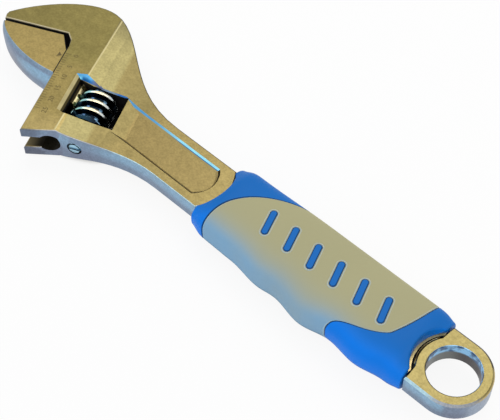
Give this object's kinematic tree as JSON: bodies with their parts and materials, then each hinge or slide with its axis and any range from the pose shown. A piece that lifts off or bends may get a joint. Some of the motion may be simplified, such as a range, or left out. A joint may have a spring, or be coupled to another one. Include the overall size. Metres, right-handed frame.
{
  "type": "adjustable wrench",
  "caption": "Hand wrench with a worm-driven sliding jaw, a hang hole at the tail, and a moulded two-tone finger grip.",
  "frame": {"origin": "centre of the hang hole, half way through its thickness", "axes": "+X along the handle towards the head, +Y towards the sliding jaw's side, +Z through the thickness, away from the table"},
  "size_m": [0.2096, 0.0563, 0.0152],
  "materials": {
    "satin_steel": "satin plated, warm",
    "bright_steel": "bright",
    "blue_plastic": "semi-matt",
    "grey_rubber": "matt"
  },
  "bodies": {
    "handle": {"body": "satin_steel", "worm_pin": "bright_steel", "worm_spring": "bright_steel", "grip_sleeve": "blue_plastic", "grip_skin": "grey_rubber"},
    "jaw": {"movable_jaw": "satin_steel"},
    "worm": {"worm": "bright_steel"}
  },
  "joints": [
    {"name": "jaw_slide", "type": "slide", "parent": "handle", "child": "jaw", "axis": [-0.4131, 0.9107, 0], "range_m": [-0.00115, 0.0238]},
    {"name": "worm_turn", "type": "hinge", "parent": "handle", "child": "worm", "pos_m": [0.14676, 0.00379, 0], "axis": [-0.4131, 0.9107, 0], "range_deg": [-2315.8, 112]}
  ],
  "couplings": [
    {"joint": "worm_turn", "follows": "jaw_slide", "rad_per_m": -1698.2}
  ]
}
